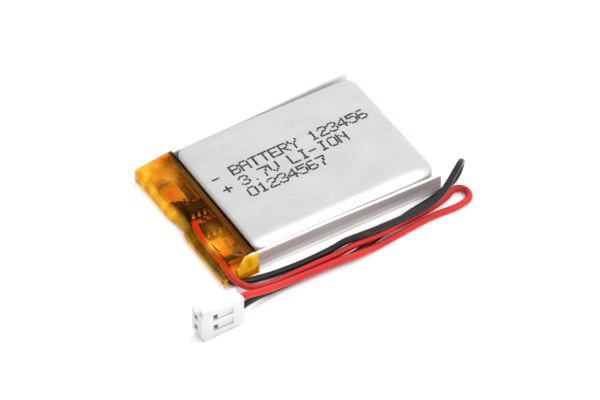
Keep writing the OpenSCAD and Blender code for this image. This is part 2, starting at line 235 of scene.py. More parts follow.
def add_lead(name, node, route):
    """One insulated lead, as a curve with its real length. Its points' radii scale a bevel of 1 m."""
    points = smooth_route(route)
    curve = bpy.data.curves.new(name, "CURVE")
    curve.dimensions = "3D"
    curve.bevel_depth = 1.0
    curve.bevel_resolution = 6
    curve.use_fill_caps = True
    spline = curve.splines.new("POLY")
    spline.points.add(len(points) - 1)
    for place, point in zip(spline.points, points):
        place.co = (*(point * MM), 1)
        place.radius = LEAD_D / 2 * MM
    spline.use_smooth = True
    piece = new_object(name, curve)
    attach(piece, BODY)
    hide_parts(node)
    length = sum((b - a).length for a, b in zip(points, points[1:])) * MM
    return piece, points[0] * MM, length


add_camera()
red_lead, red_exit, red_length = add_lead("red_wire", "red_lead", RED_ROUTE)
black_lead, black_exit, black_length = add_lead(
    "black_wire", "black_lead", BLACK_ROUTE)


# ---- Pouch ----

CUP_EDGE_R = 0.5
CUP_CORNER_R = 1.8
TOP_RINGS = 36
TOP_RING_STEP = 0.3
TOP_BLEND = 1.1  # how far down the wall the top's relief fades out
TOP_MARGIN = 3
TOP_RIPPLES = [(0.04, 9, 3.1), (0.02, 4, 8.7), (0.004, 1.3, 5.5)]
FRONT_SLOPE, FRONT_SLOPE_W = 0.34, 3.2
OTHER_SLOPE, OTHER_SLOPE_W = 0.06, 1.8
WALL_RIPPLES = [(0.05, 5, 1.7)]
# Where the painted highlight along the cup's front edge fades
LIGHT_START, LIGHT_END = 0.2, 2.1  # distances from the front wall between which the pale band fades


def rounded_rectangle(x0, x1, half_w, radius, arc_steps=10, long_steps=44, short_steps=30):
    """Points round a rectangle with round corners, always the same number whatever the radius."""
    arcs = []
    for i, (sx, sy) in enumerate([(1, 1), (-1, 1), (-1, -1), (1, -1)]):
        x = (x0 + x1) / 2 + sx * ((x1 - x0) / 2 - radius)
        y = sy * (half_w - radius)
        angles = [math.radians(90 * (i + k / arc_steps)) for k in range(arc_steps + 1)]
        arcs.append([Vector((x + radius * math.cos(a), y + radius * math.sin(a))) for a in angles])
    points = []
    for i, arc in enumerate(arcs):
        steps = long_steps if i % 2 == 0 else short_steps
        points += arc
        points += [arc[-1].lerp(arcs[(i + 1) % 4][0], k / steps) for k in range(1, steps)]
    return points


def top_relief(x, y):
    """How far the soft top face stands above or below flat: hollows, foil ripples and soft edges."""
    front = CUP_Y + y
    other = min(CUP_Y - y, FAR_X - x, x - CUP_X)
    inside = smoothstep(0, TOP_MARGIN, min(front, other))
    front_slope = FRONT_SLOPE * (1 - smoothstep(0, FRONT_SLOPE_W, front)) ** 2
    other_slope = OTHER_SLOPE * (1 - smoothstep(0, OTHER_SLOPE_W, other)) ** 2
    return inside * ripples(x, y, TOP_RIPPLES) - (front_slope + other_slope)


def painted_edge_highlight(x, y, _):
    """How much painted highlight the cup gets at a place: a pale band along its front edge, which fades out
    before the far end.
    """
    band = 1 - smoothstep(LIGHT_START, LIGHT_END, CUP_Y + y)
    return band * smoothstep(FAR_X - 0.5, FAR_X - 4, x)


def make_pouch_cup():
    """The drawn half of the pouch: upright walls, a round upper edge and a soft, nearly flat top."""
    profile = [(0.0, z) for z in (FILM_T, 0.9, 1.8, PACK_T - CUP_EDGE_R)]
    profile += [
        (CUP_EDGE_R * (1 - math.cos(math.radians(a))),
         PACK_T - CUP_EDGE_R * (1 - math.sin(math.radians(a))))
        for a in range(9, 91, 9)
    ]
    profile += [(CUP_EDGE_R + TOP_RING_STEP * k, PACK_T) for k in range(1, TOP_RINGS + 1)]
    middle_x = (CUP_X + FAR_X) / 2
    points = []
    for inset, z in profile:
        radius = max(0.02, CUP_CORNER_R - inset)
        for p in rounded_rectangle(CUP_X + inset, FAR_X - inset, CUP_Y - inset, radius):
            lift = top_relief(p.x, p.y) * smoothstep(PACK_T - TOP_BLEND, PACK_T, z)
            outward = Vector((p.x - middle_x, p.y)).normalized()
            bow = 0
            if inset < CUP_EDGE_R:
                bow = ripples(p.x, p.y + z, WALL_RIPPLES) * smoothstep(0.2, 1.5, z)
            points.append((p.x + outward.x * bow, p.y + outward.y * bow, z + lift))
    count = len(points) // len(profile)
    faces = grid_faces(len(profile), count, wrap=True)
    faces.append(tuple(range(count)))
    faces.append(tuple(range(len(points) - count, len(points))))
    piece = mesh_object("pouch_cup_skin", points, faces)
    # The painted highlight along the front edge, stored on the mesh
    add_attribute(piece, "painted_edge_highlight", painted_edge_highlight)
    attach(piece, BODY)
    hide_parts("pouch_cup")
    return piece


SEAL_T = 0.24
SEAL_STEPS = 5
SEAL_CURL = 1.3
SEAL_RIPPLES = [(0.06, 5, 2.2), (0.02, 1.8, 6.4)]
# How far each side's seal is pressed in, how far it opens towards the far end, and the power of its opening
SEAL_LEAN = {1: (0.1, 0.5, 1.3), -1: (0.12, 0.4, 2)}
SEAL_UNEVEN = [(0.04, 4, 9.3)]
BACK_SEAL_START, BACK_SEAL_RISE = 2.12, 0.14  # height at the taped end and rise along the pack, per mm
BACK_SEAL_LOW, BACK_SEAL_MORE = 2.9, 0.95  # height beyond the tape and gain towards the far end
FRONT_SEAL_END = 1.0  # height at the taped end
TERRACE_END = 0.25
TERRACE_LIFT = 0.08
END_SLANT = 0.28


def seal_lean(side, x):
    """How far a side seal's top stands out from upright at x: pressed in at the tape, open at the end."""
    along = smoothstep(CUP_X, FAR_X, x)
    pressed, opened, power = SEAL_LEAN[side]
    return -pressed + opened * along ** power + ripples(x, side * 40, SEAL_RIPPLES) * (0.3 + along)


def seal_top(side, x):
    """Height of a side seal's upper edge at x: low under the tape, and the back one rises to the far end."""
    uneven = ripples(x, side * 20, SEAL_UNEVEN)
    if side > 0:
        under_tape = BACK_SEAL_START + BACK_SEAL_RISE * (x - NEAR_X)
        beyond = BACK_SEAL_LOW + BACK_SEAL_MORE * smoothstep(CUP_X - 1, FAR_X + 2, x)
        return min(under_tape, beyond) - uneven
    low = 1 - smoothstep(NEAR_X + 2.2, NEAR_X + 4.2, x)
    return (SEAL_H + 0.02) * (1 - low) + FRONT_SEAL_END * low - uneven


def seal_section(side, x):
    """Outer and inner outline of a folded side seal at x, from the fold's start to the upper edge."""
    arc = [math.radians(a) for a in range(0, 91, 10)]
    inner_r = FOLD_R - SEAL_T
    outer = [(CUP_Y + FOLD_R * math.sin(a), FOLD_R * (1 - math.cos(a))) for a in arc]
    inner = [(CUP_Y + inner_r * math.sin(a), FOLD_R - inner_r * math.cos(a)) for a in arc]
    top = seal_top(side, x)
    lean = seal_lean(side, x)
    for k in range(1, SEAL_STEPS + 1):
        z = FOLD_R + (top - FOLD_R) * k / SEAL_STEPS
        y = SEAL_Y + lean * ((z - FOLD_R) / (SEAL_H - FOLD_R)) ** SEAL_CURL
        outer.append((y, z))
        inner.append((y - SEAL_T, z))
    return outer, inner


def make_pouch_back():
    """The flat half of the pouch, whose two long edges are folded up beside the cup."""
    stations = 90
    start_x = NEAR_X + TERRACE_END
    end_x = FAR_X + TERRACE_END
    floor = (-8, -4, 0, 4, 8)
    points = []
    for i in range(stations + 1):
        x = start_x + (end_x - start_x) * i / stations
        lift = TERRACE_LIFT * (1 - smoothstep(CUP_X - 0.6, CUP_X, x))
        back_outer, back_inner = seal_section(1, x)
        front_outer, front_inner = seal_section(-1, x)
        ring = [(-y, z) for y, z in reversed(front_outer)]
        ring += [(y, 0.0) for y in floor]
        ring += back_outer
        ring += reversed(back_inner)
        ring += [(y, FILM_T) for y in reversed(floor)]
        ring += [(-y, z) for y, z in front_inner]
        slant = smoothstep(FAR_X - 0.8, FAR_X, x)
        points += [(x - END_SLANT * slant * max(0, z - 1) / 3, y, z + lift) for y, z in ring]
    columns = len(points) // (stations + 1)
    faces = grid_faces(stations + 1, columns, wrap=True)
    faces.append(tuple(range(columns)))
    faces.append(tuple(range(stations * columns, (stations + 1) * columns)))
    piece = mesh_object("pouch_back_skin", points, faces)
    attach(piece, BODY)
    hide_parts("pouch_back")
    return piece


# ---- Tape ----

TAPE_T = 0.04
TAPE_BACK_Y = SEAL_Y + 0.1
TAPE_FRONT_Y = -11.95
TAPE_FLOOR = 0.03  # height of the tape under the pack
TAPE_TOP = 3.35  # height of its edge on the cup's wall
TAPE_SAG = 0.0004
TAPE_PULLS = 900
LOWEST_TAPE = 0.3
FIRST_TAPE = 1.5  # height that the sheet starts from
TAB_TOP = 1.4
SPARE = 0.09  # room between the tape and what lies under it
TAPE_ROWS = 120
WALL_STEPS = 6
OVER_STEPS = 84
DOWN_STEPS = 9
UNDER_STEPS = 16
SKIRT_STEPS = 8
BOARD_NODES = ("protection_board", "negative_weld_plate", "positive_weld_plate", "protection_ic",
               "switching_mosfet", "sense_resistors", "filter_capacitor", "red_solder_joint",
               "black_solder_joint")
# The fold across the front corner lies where x + CREASE_SLOPE * y is CREASE_AT
CREASE_SLOPE = 1.15
CREASE_AT = -25.5
CREASE_Y = -10
# Places on the tape: the middle and the reach of each, in x and in y
DARK_PATCH = ((-15.6, 9.2), (1.6, 2.4))
DARK_TAB = ((-13.6, -8.8), (1.2, 1.6))
# Places of painted glow, and of painted reflections of the tabs
GLOW_CORNER = ((-17, 11.8), (2.0, 2.2))
GLOW_PATCH = ((-16.6, -6.9), (0.9, 1.3))
TAB_REFLECTIONS = [((-14.7, 7.8), (1.2, 2.2)), ((-14.7, -6.2), (1.2, 2.4))]
# The end is drawn in and down between the tabs, and stands out and up at the back corner
PINCH_Y, PINCH_W = 0.6, 1.7
PINCH_IN, PINCH_DOWN = 0.5, 0.4
CORNER_OUT, CORNER_UP = 0.15, 1.2


def lead_tops(route, x, y, spare):
    """Height of the top of a lead, with a little to spare, over the grid points x and y, and 0 beside it."""
    reach = LEAD_D / 2 + spare
    tops = np.zeros_like(x)
    for (ax, ay, az), (bx, by, bz) in zip(route, route[1:]):
        span = (bx - ax) ** 2 + (by - ay) ** 2
        t = np.clip(((x - ax) * (bx - ax) + (y - ay) * (by - ay)) / span, 0, 1)
        gap = np.hypot(x - ax - t * (bx - ax), y - ay - t * (by - ay))
        dome = np.sqrt(np.maximum(reach ** 2 - gap ** 2, 0))
        tops = np.maximum(tops, np.where(gap < reach, az + t * (bz - az) + dome, 0))
    return tops


def box_tops(name, x, y, spare):
    """Height of a CAD node's box, with a little to spare, over the grid points x and y, and 0 beside it."""
    low, high = node_box(name)
    inside = (x > low.x - spare) & (x < high.x + spare) & (y > low.y - spare) & (y < high.y + spare)
    return np.where(inside, high.z + spare, 0)


def drape(x, y, wall_z, end_z, front_z, back_z):
    """Heights of a taut sheet over everything on the board, held at its four edges."""
    held = np.full_like(x, LOWEST_TAPE)
    for name in BOARD_NODES:
        held = np.maximum(held, box_tops(name, x, y, SPARE))
    for name in ("negative_tab", "positive_tab"):
        tab = np.minimum(box_tops(name, x, y, SPARE), TAB_TOP)
        held = np.maximum(held, np.where(x < CUP_X, tab, 0))
    held = np.maximum(held, np.where(y > SEAL_Y - 0.5, back_z, 0))
    held = np.maximum(held, lead_tops(RED_ROUTE[:6], x, y, SPARE))
    held = np.maximum(held, lead_tops(BLACK_ROUTE[:8], x, y, SPARE))
    z = np.maximum(held, FIRST_TAPE)
    for _ in range(TAPE_PULLS):
        z[:, 0] = wall_z
        z[:, -1] = end_z
        z[0, :] = front_z
        z[-1, :] = back_z
        middle = (z[1:-1, :-2] + z[1:-1, 2:] + z[:-2, 1:-1] + z[2:, 1:-1]) / 4
        z[1:-1, 1:-1] = np.maximum(held[1:-1, 1:-1], middle - TAPE_SAG)
    return z


def tape_relief(x, y):
    """Height of the tape's blisters, and of the fold across its front corner, above a taut sheet."""
    blisters = 0.05 * max(0, wrinkle(x, y, 0.8, 4.4)) + 0.09 * max(0, wrinkle(x, y, 2.2, 7.2))
    fold = 0.14 * bump(x + CREASE_SLOPE * y, CREASE_AT, 0.16) * bump(y, CREASE_Y, 2)
    return blisters + fold


def tape_painted_shade_and_patches(x, y, z):
    """How brown the tape looks at a place: painted shade on the cup's wall, a painted shaded line along its
    bend at the wall, painted shade in the crease across the front corner, and two darker brown patches.
    """
    # Painted shade on the wall, along the bend and in the crease; then two darker patches
    wall = 0.85 * smoothstep(2.35, 2.6, z) * smoothstep(CUP_X - 0.5, CUP_X - 0.3, x)
    bend = 0.9 * bump(x, CUP_X - 0.42, 0.09)
    crease = 0.9 * bump(x + CREASE_SLOPE * y, CREASE_AT + 0.3, 0.25) * bump(y, CREASE_Y, 2.2)
    crease *= smoothstep(NEAR_X + 3.1, NEAR_X + 3.8, x)
    patch = 0.5 * smoothstep(0.0, 0.3, wrinkle(x, y, 1.6, 12.3)) * spot(x, y, DARK_PATCH)
    tab = 0.45 * smoothstep(0.1, 0.4, wrinkle(x, y, 1.2, 17.3)) * spot(x, y, DARK_TAB)
    return min(1.0, wall + bend + crease + patch + tab)


def tape_painted_glow(x, y, z):
    """How much painted glow the tape gets at a place: bright gold along the end and in two patches, and
    painted reflections of the tabs.
    """
    # Painted glow along the end and its lower rim, at a back corner and in a patch; painted reflections over
    # the tabs
    end = 0.75 * smoothstep(NEAR_X + 1.4, NEAR_X + 0.5, x) * (0.25 + 0.75 * smoothstep(-3, 2, y))
    rim = 0.9 * smoothstep(1.0, 0.5, z) * smoothstep(NEAR_X + 1.0, NEAR_X + 0.4, x)
    spots = max(end, rim, 0.95 * spot(x, y, GLOW_CORNER), 0.85 * spot(x, y, GLOW_PATCH))
    tabs = 0.3 * max(spot(x, y, place) for place in TAB_REFLECTIONS)
    mottled = 0.8 + 0.5 * wrinkle(x, y, 1.4, 23.1)
    return min(1.0, max(0.0, (spots + tabs) * mottled))


def strip_painted_glow(x, y, z):
    """How much painted glow a strip over a side seal gets at a place."""
    return 0.62 + 0.5 * wrinkle(x, z, 1.1, 31.7)


def tape_sheet(x_reach, y_low, y_high, skirt):
    """The tape over the board as grids of x, y and z, and each row's height at the cup's wall."""
    s = np.linspace(0, 1, TAPE_ROWS + 1)[:, None]
    t = np.linspace(0, 1, OVER_STEPS + 1)[None, :]
    y = y_low + (y_high - y_low) * s + 0 * t
    row_y = y[:, 0]
    pinch = np.exp(-((row_y - PINCH_Y) / PINCH_W) ** 2)
    corner = np.clip((row_y - 8) / 4.2, 0, 1)
    ragged = np.array([0.05 * wrinkle(0, v, 1.3, 3.3) for v in row_y])
    end_x = NEAR_X + 0.05 + PINCH_IN * pinch - CORNER_OUT * corner + ragged * skirt
    end_x = CUP_X - 0.05 + (end_x - CUP_X) * x_reach
    x = CUP_X - 0.05 + (end_x - CUP_X)[:, None] * t
    wall_z = 2.3 + 0.012 * (row_y + 12)
    end_z = np.full_like(row_y, 1.7)
    if skirt:
        end_z = 0.95 - PINCH_DOWN * pinch + CORNER_UP * np.clip((row_y - 10.5) / 2, 0, 1) ** 2
    front_z = 1.45 + 0.75 * np.clip((x[0] - NEAR_X) / (CUP_X - NEAR_X), 0, 1)
    back_z = BACK_SEAL_START + 0.12 + BACK_SEAL_RISE * (x[-1] - NEAR_X)
    return x, y, drape(x, y, wall_z, end_z, front_z, back_z), wall_z


def tape_row(x, y, z, wall_z, lift, skirt):
    """Points of one row: down the cup's wall, over the board and, with a skirt, down the end and under."""
    points = []
    for k in range(WALL_STEPS):
        climb = 1 - k / WALL_STEPS
        points.append((CUP_X - 0.06, y, wall_z + (TAPE_TOP - wall_z) * climb))
    for k in range(OVER_STEPS + 1):
        calm = smoothstep(0, 0.12, k / OVER_STEPS) * smoothstep(0, 0.1, 1 - k / OVER_STEPS)
        points.append((x[k], y, z[k] + calm * tape_relief(x[k], y) + lift))
    if not skirt:
        return points
    end_x = x[-1] + 0.05
    top = z[-1] + lift
    for k in range(1, DOWN_STEPS + 1):
        share = k / DOWN_STEPS
        bulge = 0.1 * math.sin(math.pi * share)
        points.append((end_x - bulge, y, top * (1 - share) + TAPE_FLOOR * share))
    for k in range(1, UNDER_STEPS + 1):
        points.append((end_x + (CUP_X - 0.1 - end_x) * k / UNDER_STEPS, y, TAPE_FLOOR))
    return points


def front_flare(share):
    """How far the front skirt stands out at a share of the way down, over the leads and the seal's fold."""
    return -0.66 * math.sin(math.pi / 2 * share ** 0.6)


def back_flare(share):
    """How far the back skirt stands out at a share of the way down."""
    return 0.12 * share


def hang_skirt(points, faces, edge, flare):
    """Adds a skirt to the ground from the points whose indices are in edge."""
    above = edge
    for level in range(1, SKIRT_STEPS + 1):
        share = level / SKIRT_STEPS
        below = list(range(len(points), len(points) + len(edge)))
        for x, y, z in [points[k] for k in edge]:
            points.append((x, y + flare(share), z * (1 - share) + TAPE_FLOOR))
        faces += [(above[k], above[k + 1], below[k + 1], below[k]) for k in range(OVER_STEPS)]
        above = below


def make_tape(name, x_reach, y_low, y_high, lift, skirt):
    """A sheet of tape from the cup's wall over the board, then down the end and under if skirt is true."""
    x, y, z, wall_z = tape_sheet(x_reach, y_low, y_high, skirt)
    points = []
    for i in range(TAPE_ROWS + 1):
        points += tape_row(x[i], y[i, 0], z[i], wall_z[i], lift, skirt)
    columns = len(points) // (TAPE_ROWS + 1)
    faces = grid_faces(TAPE_ROWS + 1, columns)
    if skirt:
        for row, flare in ((0, front_flare), (TAPE_ROWS, back_flare)):
            first = row * columns + WALL_STEPS
            hang_skirt(points, faces, list(range(first, first + OVER_STEPS + 1)), flare)
    piece = mesh_object(name, points, faces)
    # Painted shade and two darker patches, stored on the mesh
    add_attribute(piece, "tape_shade_and_patches", tape_painted_shade_and_patches)
    # Painted glow, stored on the mesh
    add_attribute(piece, "tape_painted_glow", tape_painted_glow)
    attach(piece, BODY)
    return piece


def make_side_tape(name, node, side):
    """A strip of tape hooked over one side seal."""
    x0 = side_low.x - (0.9 if side < 0 else 0)
    x1 = side_high.x + 0.1
    rows = 30
    points = []
    for i in range(rows + 1):
        x = x0 + (x1 - x0) * i / rows
        lean = seal_lean(side, x)
        top = seal_top(side, max(x, NEAR_X + 4.2)) + 0.05
        if side < 0:
            top -= 1.9 * (1 - smoothstep(x0, x0 + 1.6, x))
        face_y = SEAL_Y + 0.1 + 0.035 * wrinkle(x, side * 9, 0.9, 2.9)
        heights = [0.1 + (top - 0.22) * k / 7 for k in range(8)]
        outline = [(face_y + lean * (z / SEAL_H), z) for z in heights]
        outline += [(SEAL_Y + lean - 0.02, top), (SEAL_Y + lean - SEAL_T + 0.02, top)]
        outline += [(SEAL_Y + lean - SEAL_T - 0.05, top - drop) for drop in (0.12, 0.5, 0.9)]
        points += [(x, side * y, z) for y, z in outline]
    piece = mesh_object(name, points, grid_faces(rows + 1, len(points) // (rows + 1)))
    solid = piece.modifiers.new("thickness", "SOLIDIFY")
    solid.thickness = TAPE_T * MM
    solid.offset = 0
    apply_modifiers(piece)
    # Painted glow on the strip
    add_attribute(piece, "tape_painted_glow", strip_painted_glow)
    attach(piece, BODY)
    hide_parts(node)
    return piece


# ---- Plug ----

PLUG_EDGE_R = 0.07


def make_plug():
    """The plug housing with the soft moulded edges of nylon, from the CAD housing's own shape."""
    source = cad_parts["plug_housing"]
    mesh = source.data.copy()
    work = bmesh.new()
    work.from_mesh(mesh)
    bmesh.ops.remove_doubles(work, verts=work.verts, dist=1e-7)
    bmesh.ops.dissolve_limit(work, angle_limit=math.radians(2), verts=work.verts, edges=work.edges)
    work.to_mesh(mesh)
    work.free()
    piece = new_object("plug_shell", mesh)
    rounding = piece.modifiers.new("rounding", "BEVEL")
    rounding.width = PLUG_EDGE_R * MM
    rounding.segments = 3
    rounding.limit_method = "ANGLE"
    rounding.angle_limit = math.radians(40)
    apply_modifiers(piece)
    piece.data.polygons.foreach_set("use_smooth", [True] * len(piece.data.polygons))
    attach(piece, BODY)
    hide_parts("plug_housing")
    return piece


# ---- Copper on the board ----

RING_PLACES = [(-14.9, -0.4), (-13.4, -0.4), (-14.2, 4.3), (-15.1, 4.9), (-13.4, 3.9), (-14.9, -4.9)]
TRACES = [((-15.6, 0.9), (-15.6, 2.9)), ((-15.2, -1.2), (-13.1, -1.2)), ((-15.7, 5.6), (-13.2, 5.6)),
          ((-13.1, -5.2), (-15.3, -5.2))]
COPPER_T = 0.03
RING_R = 0.34
HOLE_R = 0.17
TRACE_HALF_W = 0.14


def make_copper():
    """Copper rings for through holes on the board, and a few wide traces between them."""
    points = []
    faces = []
    sides = 20
    low = board_high.z
    high = low + COPPER_T
    for x, y in RING_PLACES:
        base = len(points)
        for r, z in ((RING_R, low), (RING_R, high), (HOLE_R, high), (HOLE_R, low)):
            points += [(x + r * math.cos(math.tau * k / sides), y + r * math.sin(math.tau * k / sides), z)
                       for k in range(sides)]
        for level in range(4):
            a = base + level * sides
            b = base + (level + 1) % 4 * sides
            faces += [(a + k, a + (k + 1) % sides, b + (k + 1) % sides, b + k) for k in range(sides)]
    for (x0, y0), (x1, y1) in TRACES:
        along = Vector((x1 - x0, y1 - y0)).normalized()
        across = Vector((-along.y, along.x)) * TRACE_HALF_W
        base = len(points)
        for z in (low, high):
            for x, y, sign in ((x0, y0, 1), (x1, y1, 1), (x1, y1, -1), (x0, y0, -1)):
                points.append((x + sign * across.x, y + sign * across.y, z))
        faces += [(base, base + 1, base + 2, base + 3), (base + 7, base + 6, base + 5, base + 4)]
        faces += [(base + k, base + (k + 1) % 4, base + 4 + (k + 1) % 4, base + 4 + k) for k in range(4)]
    piece = mesh_object("board_copper", points, faces, smooth=False)
    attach(piece, BODY)
    return piece


# ---- Print ----

# Each character's rows of dots, from the top down
GLYPHS = {
    "A": " ###/#   #/#   #/#####/#   #/#   #/#   #",
    "B": "####/#   #/#   #/####/#   #/#   #/####",
    "E": "#####/#/#/####/#/#/#####",
    "I": " ###/  #/  #/  #/  #/  #/ ###",
    "L": "#/#/#/#/#/#/#####",
    "O": " ###/#   #/#   #/#   #/#   #/#   #/ ###",
    "N": "#   #/##  #/# # #/#  ##/#   #/#   #/#   #",
    "R": "####/#   #/#   #/####/# #/#  #/#   #",
    "T": "#####/  #/  #/  #/  #/  #/  #",
    "V": "#   #/#   #/#   #/#   #/#   #/ # #/  #",
    "Y": "#   #/#   #/ # #/  #/  #/  #/  #",
    "0": " ###/#   #/#   #/#   #/#   #/#   #/ ###",
    "1": "  #/ ##/  #/  #/  #/  #/ ###",
    "2": " ###/#   #/    #/  ##/ #/#/#####",
    "3": " ###/#   #/    #/  ##/    #/#   #/ ###",
    "4": "   #/  ##/ # #/#  #/#####/   #/   #",
    "5": "#####/#/####/    #/    #/#   #/ ###",
    "6": " ###/#/#/####/#   #/#   #/ ###",
    "7": "#####/    #/   #/   #/  #/  #/  #",
    ".": "//////  #",
    "-": "///####",
    "+": "/  #/  #/#####/  #/  #",
    " ": "",
}
ROWS, COLUMNS = 7, 5
CHAR_W = 1.25
CHAR_H = 1.7
CHAR_PITCH = 1.66
INK_T = 0.015
DOT_R = 0.185
DOT_SIDES = 7
DOT_SHIFT = [(0.03, 1 / 7, 1.5)]
DOT_GROWTH = [(0.25, 1 / 5, 9.5)]
# Each line's text, the place of its first character's lower left corner, and its slope
LINES = [
    ("BATTERY 123456", (-7.4, 2.6), 0.012),
    ("3.7V LI-ION", (-7.3, 0.05), 0.012),
    ("01234567", (-7.4, -2.5), 0.012),
    ("-", (-10.6, 2.3), 0.0),
    ("+", (-10.3, -0.3), 0.0),
]


def make_print(cup):
    """Dot-matrix characters as thin discs of ink on the cup's top face."""
    skin = BVHTree.FromPolygons([v.co for v in cup.data.vertices],
                                [tuple(face.vertices) for face in cup.data.polygons])
    points = []
    faces = []
    for text, (x0, y0), slope in LINES:
        for n, letter in enumerate(text):
            for row, marks in enumerate(GLYPHS[letter].split("/")):
                for column, mark in enumerate(marks):
                    if mark == " ":
                        continue
                    x = x0 + n * CHAR_PITCH + column * CHAR_W / (COLUMNS - 1)
                    y = y0 + (ROWS - 1 - row) * CHAR_H / (ROWS - 1) + (x - x0) * slope
                    x += ripples(x, y, DOT_SHIFT)
                    r = DOT_R * (1 + ripples(x, y, DOT_GROWTH))
                    hit = skin.ray_cast(Vector((x, y, 2 * PACK_T)) * MM, Vector((0, 0, -1)))[0]
                    base = len(points)
                    for level in (0, INK_T):
                        points += [
                            (x + r * math.cos(math.tau * k / DOT_SIDES),
                             y + r * math.sin(math.tau * k / DOT_SIDES),
                             hit.z / MM + level) for k in range(DOT_SIDES)
                        ]
                    low = list(range(base, base + DOT_SIDES))
                    high = [k + DOT_SIDES for k in low]
                    faces.append(tuple(reversed(low)))
                    faces.append(tuple(high))
                    faces += [(low[k], low[(k + 1) % DOT_SIDES], high[(k + 1) % DOT_SIDES], high[k])
                              for k in range(DOT_SIDES)]
    mesh = bpy.data.meshes.new("printed_marks")
    mesh.from_pydata([Vector(p) * MM for p in points], [], faces)
    piece = new_object("printed_marks", mesh)
    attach(piece, BODY)
    return piece


# ---- Materials ----


class Nodes:
    """Short names for building one material's node tree."""

    def __init__(self, name):
        self.material = bpy.data.materials.new(name)
        self.material.use_nodes = True
        self.tree = self.material.node_tree
        self.tree.nodes.clear()
        self.output = self.tree.nodes.new("ShaderNodeOutputMaterial")
        coords = self.tree.nodes.new("ShaderNodeTexCoord")
        self.place = coords.outputs["Object"]

    def node(self, kind, **values):
        made = self.tree.nodes.new("ShaderNode" + kind)
        for key, value in values.items():
            setattr(made, key, value)
        return made

    def link(self, source, target):
        self.tree.links.new(source, target)

    def put(self, value, target):
        """Links a socket to the target, or sets the target to a constant."""
        if isinstance(value, bpy.types.NodeSocket):
            self.link(value, target)
        else:
            target.default_value = value

    def attribute(self, name):
        """The value of one of the mesh's attributes, or 0 on a mesh that lacks it."""
        return self.node("Attribute", attribute_name=name).outputs["Fac"]

    def axis(self, letter):
        """The place's X, Y or Z in metres."""
        split = self.node("SeparateXYZ")
        self.link(self.place, split.inputs[0])
        return split.outputs[letter]

    def calc(self, operation, *values, clamp=False):
        """The result of a Math node. Each value is a socket or a number."""
        made = self.node("Math", operation=operation, use_clamp=clamp)
        for value, target in zip(values, made.inputs):
            self.put(value, target)
        return made.outputs[0]

    def mix(self, factor, first, second, blend="MIX"):
        """Blends the second colour over the first. Each of the three is a socket or a constant."""
        made = self.node("Mix", data_type="RGBA", blend_type=blend)
        self.put(factor, made.inputs["Factor"])
        self.put(first, made.inputs["A"])
        self.put(second, made.inputs["B"])
        return made.outputs["Result"]

    def noise(self, size_mm, detail=3.0, stretch=(1, 1, 1), rough=0.55):
        """Noise with features about size_mm wide, as a factor from 0 to 1."""
        mapping = self.node("Mapping")
        mapping.inputs["Scale"].default_value = [s / (size_mm * MM) for s in stretch]
        self.link(self.place, mapping.inputs["Vector"])
        texture = self.node("TexNoise")
        texture.inputs["Scale"].default_value = 1.0
        texture.inputs["Detail"].default_value = detail
        texture.inputs["Roughness"].default_value = rough
        self.link(mapping.outputs["Vector"], texture.inputs["Vector"])
        return texture.outputs["Fac"]

    def ramp(self, factor, *stops):
        """A colour ramp over the factor: each stop is (place, colour)."""
        made = self.node("ValToRGB")
        ramp = made.color_ramp
        while len(ramp.elements) < len(stops):
            ramp.elements.new(0.5)
        for element, (place, colour) in zip(ramp.elements, stops):
            element.position = place
            element.color = (*colour, 1) if len(colour) == 3 else colour
        self.link(factor, made.inputs["Fac"])
        return made.outputs["Color"]

    def span(self, factor, low, high):
        """Maps a factor of 0 to 1 onto low to high."""
        made = self.node("MapRange")
        made.inputs["To Min"].default_value = low
        made.inputs["To Max"].default_value = high
        self.link(factor, made.inputs["Value"])
        return made.outputs["Result"]

    def bump(self, height, depth_mm, strength=1.0):
        """A normal that follows the height, which is a factor from 0 to 1."""
        made = self.node("Bump")
        made.inputs["Strength"].default_value = strength
        made.inputs["Distance"].default_value = depth_mm * MM
        self.link(height, made.inputs["Height"])
        return made.outputs["Normal"]

    def principled(self, colour, roughness, normal=None, **constants):
        """The main shader. colour and roughness are sockets; constants go straight on its own sockets."""
        shader = self.node("BsdfPrincipled")
        self.link(colour, shader.inputs["Base Color"])
        self.link(roughness, shader.inputs["Roughness"])
        if normal is not None:
            self.link(normal, shader.inputs["Normal"])
        for key, value in constants.items():
            shader.inputs[key.replace("_", " ")].default_value = value
        return shader

    def done(self, shader):
        """Ends the tree with the shader and returns the material."""
        self.link(shader.outputs[0], self.output.inputs["Surface"])
        return self.material


def plain_surface(name, dark, light, rough, size_mm, depth_mm, stretch=(1, 1, 1), **constants):
    """A surface with two close colours, varied roughness and a fine grain."""
    n = Nodes(name)
    broad = n.noise(size_mm * 6, 2.0)
    grain = n.noise(size_mm, 4.0, stretch)
    colour = n.ramp(broad, (0.3, dark), (0.7, light))
    roughness = n.span(grain, rough[0], rough[1])
    return n.done(n.principled(colour, roughness, n.bump(grain, depth_mm), **constants))


SATIN = (0.34, 0.46)  # roughness of the laminate
ROLLED = (0.35, 3.0, (0.18, 1, 1))  # its rolling marks, longer along the cell
ROLLED_DEPTH, ROLLED_STRENGTH = 0.004, 0.5


def laminate_material(name, dark, light, metallic):
    """Aluminium laminate with a satin nylon skin: fine rolling marks, soft mottling, tiny specks and a
    painted highlight along the front edge.
    """
    n = Nodes(name)
    mottled = n.noise(2.6, 3.0, (0.4, 1, 1))
    rolled = n.noise(*ROLLED)
    specks = n.noise(0.5, 1.0)
    tone = n.ramp(mottled, (0.3, dark), (0.7, light))
    marks = n.ramp(specks, (0.76, (1, 1, 1)), (0.80, (0.86, 0.86, 0.86)))
    # Painted highlight: paler colour and less metal in a band along the cup's front edge
    edge = n.attribute("painted_edge_highlight")
    colour = n.mix(edge, n.mix(1.0, tone, marks, "MULTIPLY"), (0.8, 0.8, 0.79, 1))
    shader = n.principled(colour, n.span(rolled, *SATIN), n.bump(rolled, ROLLED_DEPTH, ROLLED_STRENGTH))
    n.link(n.span(edge, metallic, 0.1), shader.inputs["Metallic"])
    return n.done(shader)


